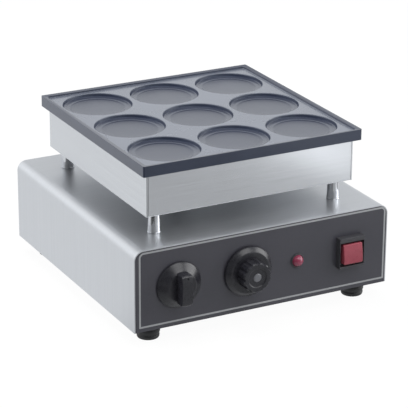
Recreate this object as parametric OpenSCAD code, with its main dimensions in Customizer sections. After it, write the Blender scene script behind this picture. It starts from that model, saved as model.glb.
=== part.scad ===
// Mini pancake maker: a square sheet-steel base on four rubber feet carries, on four
// pillars, a heater box with a cast griddle plate that has three rows of round pits.
// The origin is on the worktop, under the middle of the base. +Z is up, and the control
// panel faces -Y. All sizes are in millimetres.

/* [Base housing] */
// Width of the base, side to side
base_w = 340; // [306:1:400]
// Depth of the base, front to back
base_d = 340; // [306:1:400]
// Height of the housing above the feet
house_h = 101.4; // [95:0.2:130]
// Outer radius of the two long top bends
bend_r = 12; // [4:0.5:20]
// Thickness of the stainless wrap and of the bottom cover
sheet_t = 1.2; // [0.8:0.1:2]
// Thickness of the front and rear panels
panel_t = 1.5; // [1:0.1:3]
// Width of the flange that the wrap turns in at the bottom
flange_w = 50; // [46:1:60]
// Depth of the panels' folded bottom lips
lip_fold = 12; // [8:1:14]
// Number of vent slots in each row
vent_count = 9; // [3:1:11]

/* [Feet] */
// Height of a rubber foot
foot_h = 20; // [14:0.5:30]
// Radius of a foot at its widest
foot_r = 14.6; // [11:0.2:16]
// Radius of a foot where it meets the worktop
foot_tip_r = 13.2; // [9:0.1:14]
// Distance of a foot's centre from the side of the base
foot_inset_x = 30.5; // [26:0.5:36]
// Distance of a foot's centre from the front or the rear of the base
foot_inset_y = 27; // [26:0.5:40]

/* [Pillars] */
// Height of the pillars, which is the gap under the heater box
pillar_h = 25.5; // [15:0.5:50]
// Radius of a pillar at its top
pillar_top_r = 6.8; // [5:0.1:9]
// Radius of a pillar at its foot
pillar_foot_r = 8.2; // [6:0.1:10]
// Distance of a pillar's axis from the side of the heater box
pillar_inset_x = 17; // [17:0.5:26]
// Distance of a pillar's axis from the front or the rear of the heater box
pillar_inset_y = 15.5; // [10:0.5:26]

/* [Heater box] */
// Height of the heater box
box_h = 52.5; // [45:0.5:80]
// Thickness of its sheet
box_t = 1; // [0.8:0.1:1.5]
// Thickness of the insulation pad
pad_t = 14; // [6:1:18]

/* [Griddle plate] */
// How far the plate reaches past the heater box on each side
plate_overhang = 7.5; // [2:0.5:14]
// Thickness of the plate at its rim
plate_t = 13.3; // [12:0.1:20]
// Width of the raised rim
rim_w = 5.5; // [4:0.5:6]
// Height of the rim above the land round the pits
rim_h = 3.2; // [1:0.1:4]
// Radius of a pit at the land
pit_r = 43.7; // [39:0.1:48]
// Width of the land between two pits
pit_gap = 4.9; // [2:0.1:8]
// Width of the land between the outer pits and the rim
pit_margin = 4; // [1.5:0.1:8]
// Depth of a pit's ledge below the land
pit_depth = 4.4; // [4.2:0.1:5]
// Radius of a pit's sunk middle
pit_inner_r = 34.5; // [28:0.5:36]
// Depth of the sunk middle below the ledge
pit_step = 0.9; // [0.3:0.1:1.2]

/* [Heating elements] */
// Radius of an element's sheath
element_r = 4; // [3:0.5:4.5]
// Distance between the two legs of an element
leg_gap = 46; // [36:1:50]

/* [Controls] */
// Height of the controls' centres above the housing's bottom
control_up = 51.2; // [44:0.2:56]
// Distance of the timer's axis from the left side of the base
timer_from_left = 56.5; // [40:0.5:64]
// Distance of the thermostat's axis to the left of the middle
therm_from_middle = 22.7; // [16:0.1:30]
// Distance of the indicator lamp's axis to the right of the middle
lamp_from_middle = 45; // [30:1:60]
// Distance of the switch's middle from the right side of the base
switch_from_right = 54; // [36:0.5:64]
// Radius of the timer knob's skirt
timer_r = 28.5; // [25:0.5:32]
// How far the timer knob stands out of the panel
timer_reach = 25; // [20:0.5:30]
// Width of the timer knob's grip bar
bar_w = 13.5; // [10:0.5:18]
// Radius of the thermostat knob's skirt
therm_r = 31; // [26:0.5:34]
// How far the thermostat knob stands out of the panel
therm_reach = 26; // [20:0.5:32]
// Radius of the thermostat knob's fluted grip
flute_grip_r = 18.5; // [16:0.5:21]
// Number of flutes round the grip
flute_count = 12; // [8:1:18]
// Radius of the lamp's lens
lens_r = 7.2; // [5:0.2:9]
// Width of the switch's frame
switch_w = 34; // [30:0.5:40]
// Height of the switch's frame
switch_h = 38.6; // [36:0.2:46]
// How far the switch's frame stands out of the panel
switch_reach = 9; // [6:0.5:12]
// Angle through which the rocker tips
rocker_swing = 14; // [8:1:16]

/* [Cable gland] */
// Distance of the gland's axis from the right side of the base
gland_from_side = 70; // [40:1:100]
// Height of the gland's axis above the housing's bottom
gland_up = 32; // [26:1:36]
// Radius of the hole that the cord goes through
gland_bore_r = 4.2; // [3:0.1:5]
// How far the gland stands out of the rear panel
gland_reach = 26; // [20:0.5:32]

/* [Fits] */
// Gap between sheets that lie side by side
sheet_gap = 0.3; // [0.2:0.05:0.5]
// Radial play of a shaft that turns in its hole
run_gap = 0.05; // [0.02:0.01:0.1]
// Radial play of a screw or stud in its hole
screw_gap = 0.3; // [0.1:0.05:0.5]
// Gap between a knob's skirt and the panel
knob_gap = 0.8; // [0.5:0.1:1.5]

/* [Hidden] */
$fn = 96;
// Overlap of two solids that join, and reach of a cut past the face it opens
eps = 0.01;
over = 1;

// Levels, from the worktop up
house_top = foot_h + house_h;
flange_top = foot_h + sheet_t;
cover_top = flange_top + sheet_t;
box_bottom = house_top + pillar_h;
box_floor = box_bottom + box_t;
box_top = box_bottom + box_h;
control_z = foot_h + control_up;
gland_z = foot_h + gland_up;
plate_top = box_top + plate_t;
land_z = plate_top - rim_h;
ledge_z = land_z - pit_depth;

// Pits in each row, and rows of pits, with the plate and the box that they need
pit_count = 3;
pit_pitch = 2 * pit_r + pit_gap;
plate_w = 2 * (pit_pitch * (pit_count - 1) / 2 + pit_r + pit_margin + rim_w);
box_w = plate_w - 2 * plate_overhang;

// Faces of the housing and of the heater box
front_y = -base_d / 2;
rear_y = base_d / 2;
panel_back = front_y + panel_t;
rear_inner = rear_y - panel_t;
inner_w = base_w - 2 * (sheet_t + sheet_gap);
box_half = box_w / 2;
wrap_half = box_half - box_t - sheet_gap;

// Places across the base
foot_x = base_w / 2 - foot_inset_x;
foot_y = base_d / 2 - foot_inset_y;
pillar_x = box_half - pillar_inset_x;
pillar_y = box_half - pillar_inset_y;
timer_x = timer_from_left - base_w / 2;
therm_x = -therm_from_middle;
lamp_x = lamp_from_middle;
switch_x = base_w / 2 - switch_from_right;
gland_x = base_w / 2 - gland_from_side;

// Sheet flanges at the top of the heater box, with the screws that hold the plate
top_flange = 12;
plate_screw_y = box_half - box_t - top_flange / 2;
plate_screw_r = 2.4;
plate_screw_depth = 6;

// Room past the tip of a screw or shaft at the bottom of its hole
tip_gap = 1;

// Feet: a pan-head screw in a counterbore, with a nut on the cover
foot_screw_r = 2.5;
foot_bore_r = foot_screw_r + screw_gap;
foot_sink_r = 6;
foot_sink_h = 7;
foot_head_r = 5;
foot_head_h = 3;
foot_nut_af = 8;
foot_nut_h = 4;
foot_tip_bevel = 0.8;
foot_top_bevel = 1.2;
foot_belly_share = 0.45;

// Pillars: a stud through each, with a nut at both ends
stud_r = 3;
stud_hole_r = stud_r + screw_gap;
stud_nut_af = 10;
stud_nut_h = 5;
stud_end = 7;
pillar_bevel = 0.8;

// Conduit for the wires between base and heater box
conduit_beside = 2.7;
conduit_y = 60;
conduit_r = 12;
conduit_wall = 1;
conduit_collar_r = 16;
conduit_collar_h = 1.5;
conduit_neck = 4;
wire_hole_play = 2;
wire_hole_r = conduit_r + wire_hole_play;

// Small screws from below through the wrap's flanges
cover_screw_r = 1.8;
cover_head_r = 3.4;
cover_head_h = 1.8;
cover_screw_len = 7;
lip_screw_side = 10;
lip_screw_x = base_w / 2 - lip_screw_side;
lip_screw_y = base_d / 2 - panel_t - lip_fold / 2;
cover_screw_side = 20;
cover_screw_x = base_w / 2 - cover_screw_side;
cover_screw_y = 68;

// Pits: the wall leans by this much, and the ledge slopes down by this much
pit_draft = 1.5;
ledge_fall = 0.4;
step_slope = 0.8;

// Heating elements under the plate, with clamp bars and their screws
element_gap = 0.2;
element_z = box_top - element_r - element_gap;
element_past_front = 3;
element_past_rear = 18;
element_front = -(pit_pitch + element_past_front);
element_rear = pit_pitch + element_past_rear;
pin_r = 1.5;
pin_len = 12;
clamp_y = pit_pitch / 2;
clamp_w = 16;
clamp_t = 2.5;
clamp_past = 4;
clamp_half = pit_pitch + leg_gap / 2 + element_r + clamp_past;
clamp_screw_r = 2.5;
clamp_screw_depth = 6;
clamp_head_r = 4.2;
clamp_head_h = 3;

// Insulation and reflector inside the heater box
pad_inset = 13;
pad_half = pillar_x - pad_inset;
reflector_inset = 3;
reflector_half = pillar_x - reflector_inset;
reflector_t = 1;

// Controls: shafts, knobs and the screws behind the skirts
shaft_r = 3;
shaft_hole_r = 5.5;
shaft_inside = 15;
shaft_short = 6;
skirt_hollow_r = 24;
skirt_hollow = 4.2;
hub_r = 7;
body_screw_at = 14;
body_screw_r = 1.6;
body_head_r = 3;
body_head_h = 1.8;
body_screw_len = 8;
timer_skirt_h = 5;
timer_drum_h = 11;
timer_drum_foot = 20.5;
timer_drum_top = 18;
timer_drum_rise = 0.6;
bar_r = 19.5;
skirt_bevel = 1.6;
therm_skirt_h = 4;
therm_cone_h = 9;
therm_cone_r = 25.5;
cap_ring_in = 11;
cap_sink = 1.4;
cap_boss_r = 4.5;
flute_r = 3.2;
flute_out = 1.9;
timer_body_w = 46;
timer_body_depth = 28;
timer_plate_t = 3;
timer_case_inset = 1;
therm_body_w = 48;
therm_body_h = 38;
therm_body_depth = 32;
therm_drum_depth = 6;
therm_drum_inset = 2;

// Capillary tube and bulb of the thermostat
capillary_r = 1.2;
capillary_beside = 20;
capillary_x = therm_x + capillary_beside;
capillary_bend = 6;
capillary_lead = 4;
bulb_r = 3;
bulb_len = 70;
bulb_z = box_top - bulb_r - sheet_gap;
conduit_at = [capillary_x + conduit_beside, conduit_y];

// Indicator lamp
bezel_rim = 1.6;
bezel_r = lens_r + bezel_rim;
bezel_h = 1.6;
lens_reach = 7.5;
lens_seat = 0.6;
lamp_well_r = 4.8;
lamp_well = 3;
lamp_tail_r = 6;
lamp_tail = 28;

// Rocker switch: frame, well for the rocker, and the rocker's pivot
switch_side = 4;
switch_edge = 3.7;
rocker_w = switch_w - 2 * switch_side;
rocker_half = switch_h / 2 - switch_edge;
rocker_side_gap = 0.4;
rocker_end_gap = 0.9;
rocker_bevel = 1;
well_half = rocker_half + rocker_end_gap;
well_depth = 7.5;
pivot_out = 4;
pivot_y = front_y - pivot_out;
pivot_r = 1.6;
pivot_len = 1.6;
pivot_end_gap = 0.3;
rocker_end = 8.6;
rocker_dip = 6.4;
rocker_back = 3.4;
switch_side_wall = 2;
switch_end_wall = 1.5;
switch_body_w = rocker_w + 2 * switch_side_wall;
switch_body_h = 2 * (well_half + switch_end_wall);
switch_depth = 26;

// Terminal block and the sleeved loom that feeds the elements
block_size = [42, 22, 18];
block_from_rear = 55;
block_pitch = 13;
block_screw_r = 2;
block_screw_at = 5;
block_screw_floor = 6;
block_screw_sunk = 2;
block_slot_w = 1.2;
block_slot_depth = 4;
loom_r = 4.5;
loom_beside = 5;
loom_x = conduit_at.x + loom_beside;
block_at = [loom_x, rear_y - block_from_rear];
loom_bend = 12;
loom_lift = 10;
loom_low = cover_top + loom_lift;
loom_over = 14;
loom_high = box_floor + pad_t + reflector_t + loom_over;
loom_short = 6;
loom_end = element_rear - loom_short;

// Cable gland
gland_r = 10;
gland_af = 24;
gland_hex_h = 5;
gland_thread_in = 9;
gland_sleeve_r = 8;
gland_sleeve = 17;
gland_sleeve_gap = 0.5;
gland_cap_r = 11.6;
gland_grip = 11.7;
gland_nose_r = 7.5;

// A box between two opposite corners
module block(low, high) {
  translate(low) cube(high - low);
}

// A cylinder along Y between two places
module rod_y(r, from, to) {
  translate([0, to, 0]) rotate([90, 0, 0]) cylinder(r = r, h = to - from);
}

// Cuts that go right through what lies between two places
module bore_y(r, from, to) {
  rod_y(r, from - over, to + over);
}
module bore_z(r, from, to) {
  translate([0, 0, from - over]) cylinder(r = r, h = to - from + 2 * over);
}

// Copies at (x, y) mirrored to all four corners
module at_corners(x, y) {
  for (sx = [-1, 1], sy = [-1, 1]) translate([sx * x, sy * y, 0]) children();
}

// A hexagonal prism, by the distance across its flats
module hexagon(af, h) {
  cylinder(r = af / 2 / cos(30), h = h, $fn = 6);
}

// Outline with two round top corners, standing on the X axis
module arch(w, h, r) {
  translate([-w / 2, 0]) square([w, h - r]);
  translate([-w / 2 + r, 0]) square([w - 2 * r, h]);
  for (s = [-1, 1]) translate([s * (w / 2 - r), h - r]) circle(r);
}

// A plate with that outline, its front face at y
module arch_plate(w, h, r, y, t, z) {
  translate([0, y + t, z]) rotate([90, 0, 0]) linear_extrude(t) arch(w, h, r);
}

// A slot with round ends, cut through a wall that faces Y
module slot_y(len, r, from, to) {
  for (s = [-1, 1]) translate([0, 0, s * len / 2]) bore_y(r, from, to);
  block([-r, from - over, -len / 2], [r, to + over, len / 2]);
}

// A slot with round ends, cut through a floor
module slot_z(len, r, from, to) {
  for (s = [-1, 1]) translate([0, s * len / 2, 0]) bore_z(r, from, to);
  block([-r, -len / 2, from - over], [r, len / 2, to + over]);
}

// A quarter ring that turns a round tube from Y to Z
module elbow(tube_r, bend) {
  rotate([0, -90, 0]) rotate_extrude(angle = 90) translate([bend, 0]) circle(tube_r);
}

// Places of the small screws under the housing
module at_lip_screws() {
  at_corners(lip_screw_x, lip_screw_y) children();
}
module at_cover_screws() {
  at_corners(cover_screw_x, cover_screw_y) children();
}

// Places of the conduit and of the gland
module at_conduit() {
  translate([conduit_at.x, conduit_at.y, 0]) children();
}
module at_gland() {
  translate([gland_x, 0, gland_z]) children();
}

// Base housing

module shell_section() {
  difference() {
    arch(base_w, house_h, bend_r);
    translate([0, sheet_t]) arch(base_w - 2 * sheet_t, house_h - 2 * sheet_t, bend_r - sheet_t);
    opening_w = base_w - 2 * flange_w;
    translate([-opening_w / 2, -over]) square([opening_w, sheet_t + 2 * over]);
  }
}

module base_shell() {
  color("gainsboro") difference() {
    translate([0, rear_y, foot_h]) rotate([90, 0, 0]) linear_extrude(base_d) shell_section();
    // The panels cover the flanges' ends
    end_depth = panel_t + sheet_gap;
    end_size = [base_w - 2 * sheet_t, end_depth + eps, 2 * sheet_t];
    for (s = [-1, 1]) translate([0, s * (base_d - end_depth) / 2, foot_h]) cube(end_size, center = true);
    at_corners(pillar_x, pillar_y) bore_z(stud_hole_r, house_top - sheet_t, house_top);
    at_conduit() bore_z(conduit_r + sheet_gap, house_top - sheet_t, house_top);
    at_corners(foot_x, foot_y) bore_z(foot_bore_r, foot_h, flange_top);
    at_lip_screws() bore_z(cover_screw_r + screw_gap, foot_h, flange_top);
    at_cover_screws() bore_z(cover_screw_r + screw_gap, foot_h, flange_top);
  }
}

// The folded lip along a panel's bottom, with its screw holes; side is -1 for the front
module panel_lip(side) {
  far = base_d / 2 - eps;
  near = base_d / 2 - panel_t - lip_fold;
  difference() {
    block([-inner_w / 2, min(side * near, side * far), flange_top],
          [inner_w / 2, max(side * near, side * far), flange_top + panel_t]);
    at_lip_screws() bore_z(cover_screw_r, flange_top, flange_top + panel_t);
  }
}

module panel_plate(y) {
  inner_gap = sheet_t + sheet_gap;
  arch_plate(inner_w, house_h - inner_gap, bend_r - inner_gap, y, panel_t, foot_h);
}

// Places of the two screws beside the shaft at x
module at_body_screws(x) {
  for (s = [-1, 1]) translate([x + s * body_screw_at, 0, control_z]) children();
}

module front_panel() {
  color([0.27, 0.27, 0.29]) difference() {
    union() {
      panel_plate(front_y);
      panel_lip(-1);
    }
    for (x = [timer_x, therm_x]) {
      translate([x, 0, control_z]) bore_y(shaft_hole_r, front_y, panel_back);
      at_body_screws(x) bore_y(body_screw_r + screw_gap / 2, front_y, panel_back);
    }
    translate([lamp_x, 0, control_z]) bore_y(lamp_tail_r + sheet_gap, front_y, panel_back);
    switch_cut_w = switch_body_w / 2 + sheet_gap;
    switch_cut_h = switch_body_h / 2 + sheet_gap;
    block([switch_x - switch_cut_w, front_y - over, control_z - switch_cut_h],
          [switch_x + switch_cut_w, panel_back + over, control_z + switch_cut_h]);
  }
}

module rear_panel() {
  vent_len = 24;
  vent_r = 2;
  vent_pitch = 10;
  vent_group_x = 70;
  vent_z = house_top - 32;
  color("silver") difference() {
    union() {
      panel_plate(rear_inner);
      panel_lip(1);
    }
    at_gland() bore_y(gland_r + sheet_gap / 2, rear_inner, rear_y);
    for (side = [-1, 1], i = [0 : vent_count - 1])
      translate([side * vent_group_x + (i - (vent_count - 1) / 2) * vent_pitch, 0, vent_z])
        slot_y(vent_len, vent_r, rear_inner, rear_y);
  }
}

module bottom_cover() {
  vent_len = 60;
  vent_r = 2.5;
  vent_pitch = 14;
  vent_row_y = 50;
  half_y = base_d / 2 - panel_t - lip_fold - sheet_gap;
  color("silver") difference() {
    block([-inner_w / 2, -half_y, flange_top], [inner_w / 2, half_y, cover_top]);
    at_corners(foot_x, foot_y) bore_z(foot_bore_r, flange_top, cover_top);
    at_cover_screws() bore_z(cover_screw_r, flange_top, cover_top);
    for (row = [-1, 1], i = [0 : vent_count - 1])
      translate([(i - (vent_count - 1) / 2) * vent_pitch, row * vent_row_y, 0])
        slot_z(vent_len, vent_r, flange_top, cover_top);
  }
}

module cover_screw() {
  translate([0, 0, foot_h - cover_head_h]) cylinder(r = cover_head_r, h = cover_head_h);
  translate([0, 0, foot_h - eps]) cylinder(r = cover_screw_r - run_gap, h = cover_screw_len);
}

module cover_screws() {
  color("lightgray") {
    at_lip_screws() cover_screw();
    at_cover_screws() cover_screw();
  }
}

// Feet

module foot(sx, sy) {
  belly_z = foot_h * foot_belly_share;
  color([0.09, 0.09, 0.1]) translate([sx * foot_x, sy * foot_y, 0]) difference() {
    rotate_extrude() polygon([
      [0, 0], [foot_tip_r - foot_tip_bevel, 0], [foot_tip_r, foot_tip_bevel], [foot_r, belly_z],
      [foot_r, foot_h - foot_top_bevel], [foot_r - foot_top_bevel, foot_h], [0, foot_h]
    ]);
    translate([0, 0, -over]) cylinder(r = foot_sink_r, h = foot_sink_h + over);
    bore_z(foot_bore_r, 0, foot_h);
  }
}

module foot_screws() {
  past_nut = 1;
  color("lightgray") at_corners(foot_x, foot_y) translate([0, 0, foot_sink_h]) {
    translate([0, 0, -foot_head_h]) cylinder(r = foot_head_r, h = foot_head_h);
    translate([0, 0, -eps]) cylinder(r = foot_screw_r, h = cover_top + foot_nut_h + past_nut - foot_sink_h);
  }
}

module foot_nuts() {
  color("lightgray") at_corners(foot_x, foot_y) translate([0, 0, cover_top]) difference() {
    hexagon(foot_nut_af, foot_nut_h);
    bore_z(foot_screw_r + run_gap, 0, foot_nut_h);
  }
}

// Pillars and conduit

module pillar(sx, sy) {
  color("silver") translate([sx * pillar_x, sy * pillar_y, house_top]) difference() {
    rotate_extrude() polygon([
      [0, 0], [pillar_foot_r, 0], [pillar_foot_r, pillar_bevel], [pillar_top_r, pillar_h - pillar_bevel],
      [pillar_top_r - pillar_bevel, pillar_h], [0, pillar_h]
    ]);
    bore_z(stud_hole_r, 0, pillar_h);
  }
}

module pillar_studs() {
  low = house_top - sheet_t - stud_end;
  color("lightgray") at_corners(pillar_x, pillar_y)
    translate([0, 0, low]) cylinder(r = stud_r, h = box_floor + stud_end - low);
}

module stud_nut(z) {
  translate([0, 0, z]) difference() {
    hexagon(stud_nut_af, stud_nut_h);
    bore_z(stud_r + run_gap, 0, stud_nut_h);
  }
}

module pillar_nuts() {
  color("lightgray") at_corners(pillar_x, pillar_y) {
    stud_nut(house_top - sheet_t - stud_nut_h);
    stud_nut(box_floor);
  }
}

module wire_conduit() {
  color("silver") at_conduit() difference() {
    union() {
      translate([0, 0, house_top - conduit_neck]) cylinder(r = conduit_r, h = pillar_h + 2 * conduit_neck);
      for (z = [house_top, box_bottom - conduit_collar_h])
        translate([0, 0, z]) cylinder(r = conduit_collar_r, h = conduit_collar_h);
    }
    bore_z(conduit_r - conduit_wall, house_top - conduit_neck, box_bottom + conduit_neck);
  }
}

// Heater box

module heater_box_wrap() {
  flange_inner = box_half - box_t - top_flange;
  color("gainsboro") difference() {
    block([-wrap_half, -box_half, box_bottom], [wrap_half, box_half, box_top]);
    block([-box_half, -box_half + box_t, box_floor], [box_half, box_half - box_t, box_top - box_t]);
    block([-box_half, -flange_inner, box_floor], [box_half, flange_inner, box_top + over]);
    at_corners(pillar_x, pillar_y) bore_z(stud_hole_r, box_bottom, box_floor);
    at_conduit() bore_z(conduit_r + sheet_gap, box_bottom, box_floor);
    at_plate_screws() bore_z(plate_screw_r + screw_gap, box_top - box_t, box_top);
  }
}

// One end wall of the heater box, with a folded flange on the floor; side is -1 for left
module heater_box_side(side) {
  flange = 10;
  inner_y = box_half - box_t - sheet_gap;
  wall = [box_half - box_t, box_half];
  color("gainsboro") {
    block([min(side * wall), -box_half, box_bottom], [max(side * wall), box_half, box_top]);
    fold = [side * (box_half - box_t - flange), side * (box_half - box_t / 2)];
    block([min(fold), -inner_y, box_floor], [max(fold), inner_y, box_floor + box_t]);
  }
}

module insulation_pad() {
  color("wheat") difference() {
    block([-pad_half, -pad_half, box_floor], [pad_half, pad_half, box_floor + pad_t]);
    at_conduit() bore_z(wire_hole_r, box_floor, box_floor + pad_t);
  }
}

module reflector_plate() {
  low = box_floor + pad_t;
  color("silver") difference() {
    block([-reflector_half, -reflector_half, low], [reflector_half, reflector_half, low + reflector_t]);
    at_conduit() bore_z(wire_hole_r, low, low + reflector_t);
  }
}

// A U-shaped element under one column of pits; column is -1, 0 or 1
module heating_element(column) {
  leg = leg_gap / 2;
  color("dimgray") translate([column * pit_pitch, 0, element_z]) {
    for (s = [-1, 1]) translate([s * leg, 0, 0]) {
      rod_y(element_r, element_front + leg, element_rear);
      rod_y(pin_r, element_rear - eps, element_rear + pin_len);
    }
    translate([0, element_front + leg, 0]) rotate([0, 0, 180]) rotate_extrude(angle = 180)
      translate([leg, 0]) circle(element_r);
  }
}

module at_clamp_screws() {
  at_corners(pit_pitch / 2, clamp_y) children();
}

module element_clamps() {
  top = element_z - element_r;
  low = [-clamp_half, -clamp_w / 2, top - clamp_t];
  high = [clamp_half, clamp_w / 2, top];
  color("silver") difference() {
    for (s = [-1, 1]) translate([0, s * clamp_y, 0]) block(low, high);
    at_clamp_screws() bore_z(clamp_screw_r + screw_gap, top - clamp_t, top);
  }
}

module clamp_screws() {
  bottom = element_z - element_r - clamp_t;
  tip = box_top + clamp_screw_depth - tip_gap;
  color("lightgray") at_clamp_screws() {
    translate([0, 0, bottom - clamp_head_h]) cylinder(r = clamp_head_r, h = clamp_head_h);
    translate([0, 0, bottom - eps]) cylinder(r = clamp_screw_r, h = tip - bottom);
  }
}

// Griddle plate

module at_pits() {
  middle = (pit_count - 1) / 2;
  for (i = [0 : pit_count - 1], j = [0 : pit_count - 1])
    translate([(i - middle) * pit_pitch, (j - middle) * pit_pitch, 0]) children();
}

module at_plate_screws() {
  for (x = [pit_pitch / 2, plate_screw_y]) at_corners(x, plate_screw_y) children();
}

// The space of one pit: a leaning wall, a sloping ledge, and a sunk middle
module pit_space() {
  floor_r = pit_r - pit_draft;
  middle_z = ledge_z - ledge_fall - pit_step;
  rotate_extrude() polygon([
    [0, middle_z], [pit_inner_r - step_slope, middle_z], [pit_inner_r, ledge_z - ledge_fall],
    [floor_r, ledge_z], [pit_r, land_z], [pit_r, plate_top + over], [0, plate_top + over]
  ]);
}

// A tapped hole in the plate's underside
module blind_hole(r, depth) {
  translate([0, 0, box_top - over]) cylinder(r = r, h = depth + over);
}

module griddle_plate() {
  half = plate_w / 2;
  inner = half - rim_w;
  color([0.3, 0.31, 0.34]) difference() {
    block([-half, -half, box_top], [half, half, plate_top]);
    block([-inner, -inner, land_z], [inner, inner, plate_top + over]);
    at_pits() pit_space();
    at_plate_screws() blind_hole(plate_screw_r + run_gap, plate_screw_depth);
    at_clamp_screws() blind_hole(clamp_screw_r + run_gap, clamp_screw_depth);
  }
}

module plate_screws() {
  head_r = 4;
  head_h = 2.8;
  flange_low = box_top - box_t;
  color("lightgray") at_plate_screws() {
    translate([0, 0, flange_low - head_h]) cylinder(r = head_r, h = head_h);
    translate([0, 0, flange_low - eps]) cylinder(r = plate_screw_r, h = box_t + plate_screw_depth - tip_gap);
  }
}

// Controls that turn

module control_shaft(x, reach) {
  translate([x, 0, control_z])
    rod_y(shaft_r, front_y - reach + shaft_short, panel_back + shaft_inside - tip_gap);
}

module control_screws(x) {
  at_body_screws(x) {
    rod_y(body_head_r, front_y - body_head_h, front_y);
    rod_y(body_screw_r, front_y - eps, front_y + body_screw_len);
  }
}

module control_bores(x) {
  translate([x, 0, control_z]) rod_y(shaft_r + run_gap, panel_back - over, panel_back + shaft_inside);
  at_body_screws(x) rod_y(body_screw_r + run_gap, panel_back - over, front_y + body_screw_len + tip_gap);
}

module timer_body() {
  half = timer_body_w / 2;
  plate_back = panel_back + timer_plate_t;
  case_back = panel_back + timer_body_depth;
  color("khaki") difference() {
    translate([timer_x, 0, control_z]) union() {
      block([-half, panel_back, -half], [half, plate_back, half]);
      rod_y(half - timer_case_inset, plate_back - eps, case_back);
    }
    control_bores(timer_x);
  }
}

module thermostat_body() {
  half = [therm_body_w, therm_body_h] / 2;
  case_back = panel_back + therm_body_depth - therm_drum_depth;
  color("wheat") difference() {
    translate([therm_x, 0, control_z]) union() {
      block([-half.x, panel_back, -half.y], [half.x, case_back, half.y]);
      rod_y(half.y - therm_drum_inset, case_back - eps, case_back + therm_drum_depth);
    }
    control_bores(therm_x);
  }
}

module timer_shaft() {
  color("silver") control_shaft(timer_x, timer_reach);
}

module thermostat_shaft() {
  color("silver") control_shaft(therm_x, therm_reach);
}

module timer_screws() {
  color("lightgray") control_screws(timer_x);
}

module thermostat_screws() {
  color("lightgray") control_screws(therm_x);
}

// Hollow behind a skirt and the socket for the shaft, in the knob's own frame
module knob_hollow(reach) {
  difference() {
    translate([0, 0, knob_gap - over]) cylinder(r = skirt_hollow_r, h = skirt_hollow - knob_gap + over);
    cylinder(r = hub_r, h = reach);
  }
  cylinder(r = shaft_r + run_gap / 2, h = reach - shaft_short + tip_gap);
}

// Puts a knob, drawn along +Z from the panel's face, on the panel at x
module on_panel(x) {
  translate([x, front_y, control_z]) rotate([90, 0, 0]) children();
}

module timer_knob() {
  color([0.12, 0.12, 0.13]) on_panel(timer_x) difference() {
    union() {
      rotate_extrude() polygon([
        [0, knob_gap], [timer_r, knob_gap], [timer_r, timer_skirt_h - skirt_bevel],
        [timer_r - skirt_bevel, timer_skirt_h], [timer_drum_foot, timer_skirt_h + timer_drum_rise],
        [timer_drum_top, timer_drum_h], [0, timer_drum_h]
      ]);
      intersection() {
        cylinder(r = bar_r, h = timer_reach);
        translate([-bar_w / 2, -timer_r, 0]) cube([bar_w, 2 * timer_r, timer_reach]);
      }
    }
    knob_hollow(timer_reach);
  }
}

module thermostat_knob() {
  color([0.12, 0.12, 0.13]) on_panel(therm_x) difference() {
    union() {
      rotate_extrude() polygon([
        [0, knob_gap], [therm_r, knob_gap], [therm_r, therm_skirt_h],
        [therm_cone_r, therm_cone_h], [0, therm_cone_h]
      ]);
      difference() {
        cylinder(r = flute_grip_r, h = therm_reach);
        for (i = [0 : flute_count - 1])
          rotate([0, 0, i * 360 / flute_count]) translate([flute_grip_r + flute_out, 0, therm_cone_h])
            cylinder(r = flute_r, h = therm_reach);
      }
    }
    translate([0, 0, therm_reach - cap_sink]) difference() {
      cylinder(r = cap_ring_in, h = cap_sink + over);
      bore_z(cap_boss_r, 0, cap_sink);
    }
    knob_hollow(therm_reach);
  }
}

// Capillary: back from the thermostat, up through the conduit, then forward as the bulb
module thermostat_capillary() {
  start = panel_back + therm_body_depth - therm_drum_depth;
  turn_y = conduit_at.y - capillary_bend;
  bulb_rear = turn_y - capillary_lead;
  color("peru") translate([capillary_x, 0, 0]) {
    translate([0, 0, control_z]) rod_y(capillary_r, start, turn_y);
    translate([0, turn_y, control_z + capillary_bend]) rotate([-90, 0, 0]) elbow(capillary_r, capillary_bend);
    translate([0, conduit_at.y, control_z + capillary_bend])
      cylinder(r = capillary_r, h = bulb_z - control_z - 2 * capillary_bend);
    translate([0, turn_y, bulb_z - capillary_bend]) elbow(capillary_r, capillary_bend);
    translate([0, 0, bulb_z]) {
      rod_y(capillary_r, bulb_rear, turn_y);
      rod_y(bulb_r, bulb_rear - bulb_len, bulb_rear);
    }
  }
}

// Indicator lamp

module lamp_body() {
  color([0.15, 0.15, 0.16]) on_panel(lamp_x) difference() {
    union() {
      cylinder(r = bezel_r, h = bezel_h);
      translate([0, 0, -lamp_tail]) cylinder(r = lamp_tail_r, h = lamp_tail + eps);
    }
    translate([0, 0, -lamp_well]) cylinder(r = lamp_well_r, h = lamp_well + bezel_h + over);
    translate([0, 0, lens_seat]) cylinder(r = lens_r, h = bezel_h + over);
  }
}

module lamp_lens() {
  dome_r = (lens_reach * lens_reach + lens_r * lens_r) / (2 * lens_reach);
  color([0.75, 0.1, 0.2]) on_panel(lamp_x) intersection() {
    translate([0, 0, lens_seat]) cylinder(r = lens_r - run_gap, h = lens_reach);
    translate([0, 0, lens_reach - dome_r]) sphere(dome_r);
  }
}

// Rocker switch

module switch_housing() {
  side_w = rocker_w / 2 + rocker_side_gap;
  bore_half = side_w + pivot_len + pivot_end_gap;
  color([0.1, 0.1, 0.11]) on_panel(switch_x) difference() {
    union() {
      translate([-switch_w / 2, -switch_h / 2, 0]) cube([switch_w, switch_h, switch_reach]);
      translate([-switch_body_w / 2, -switch_body_h / 2, -switch_depth])
        cube([switch_body_w, switch_body_h, switch_depth + eps]);
    }
    block([-side_w, -well_half, pivot_out - well_depth], [side_w, well_half, switch_reach + over]);
    translate([-bore_half, 0, pivot_out]) rotate([0, 90, 0])
      cylinder(r = pivot_r + run_gap, h = 2 * bore_half);
  }
}

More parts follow.
